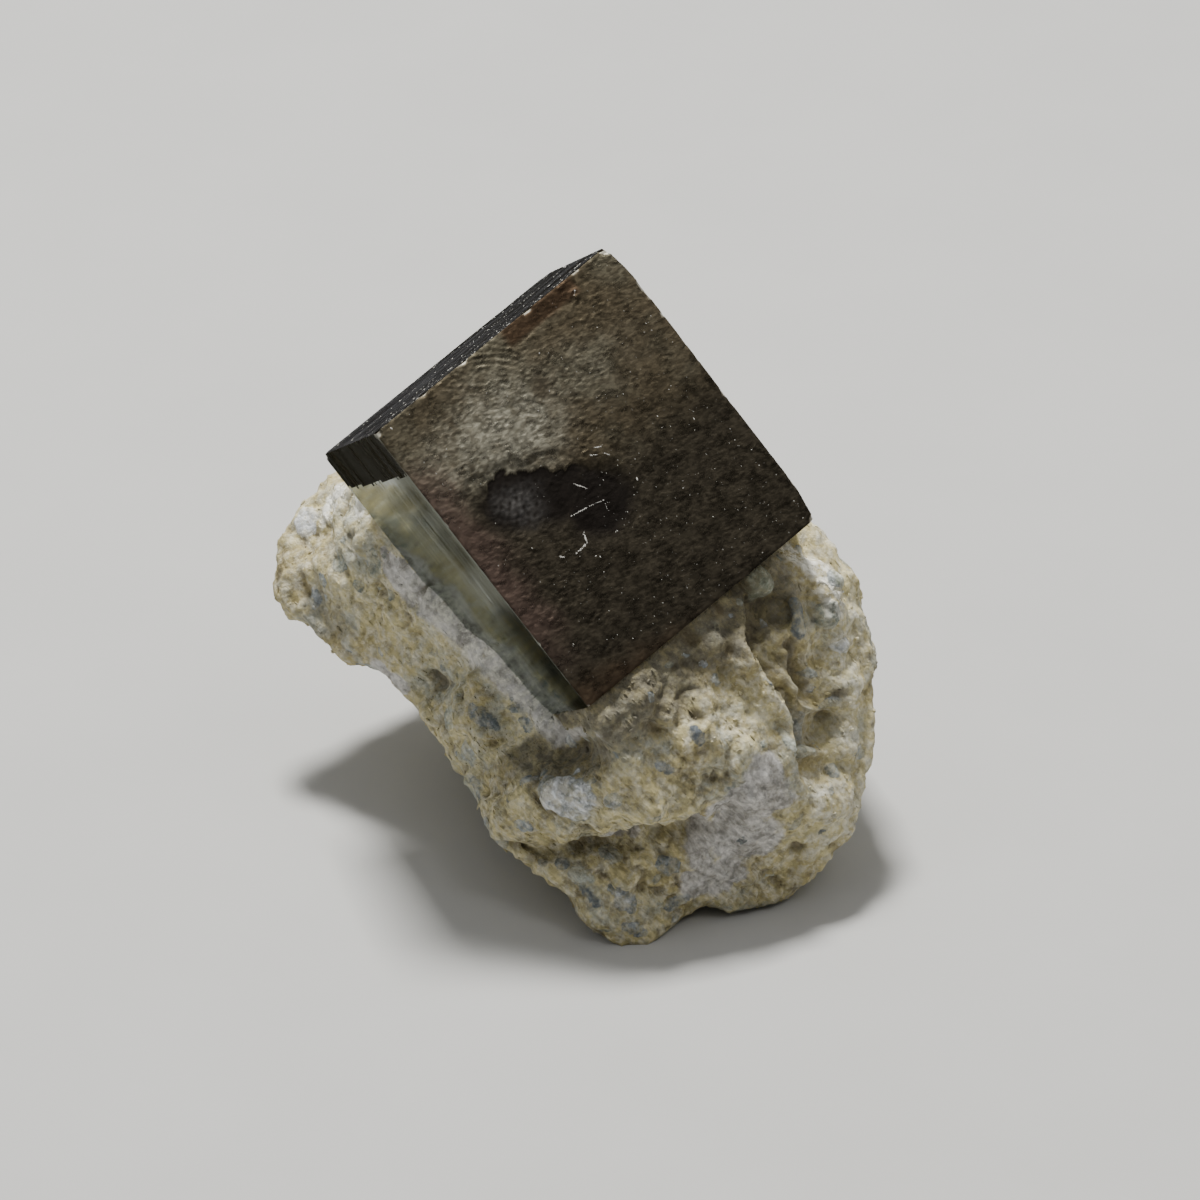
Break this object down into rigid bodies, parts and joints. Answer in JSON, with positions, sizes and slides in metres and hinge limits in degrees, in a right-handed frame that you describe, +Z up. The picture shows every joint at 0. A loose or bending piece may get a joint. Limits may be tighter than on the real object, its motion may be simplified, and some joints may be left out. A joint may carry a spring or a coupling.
{
  "type": "pyrite specimen",
  "caption": "Pyrite cuboid crystal set in a broken lump of pale marl, standing on the flat underside of the lump.",
  "frame": {"origin": "under the middle of the specimen, on the surface it rests on", "axes": "+Z up, -Y towards the side the crystal's large face looks to, +X to the right seen from there"},
  "size_m": [0.0432, 0.0384, 0.0455],
  "materials": {
    "marl": "rough",
    "pyrite": "polished"
  },
  "bodies": {
    "root": {"marl_matrix": "marl", "pyrite_crystal": "pyrite"}
  },
  "joints": []
}
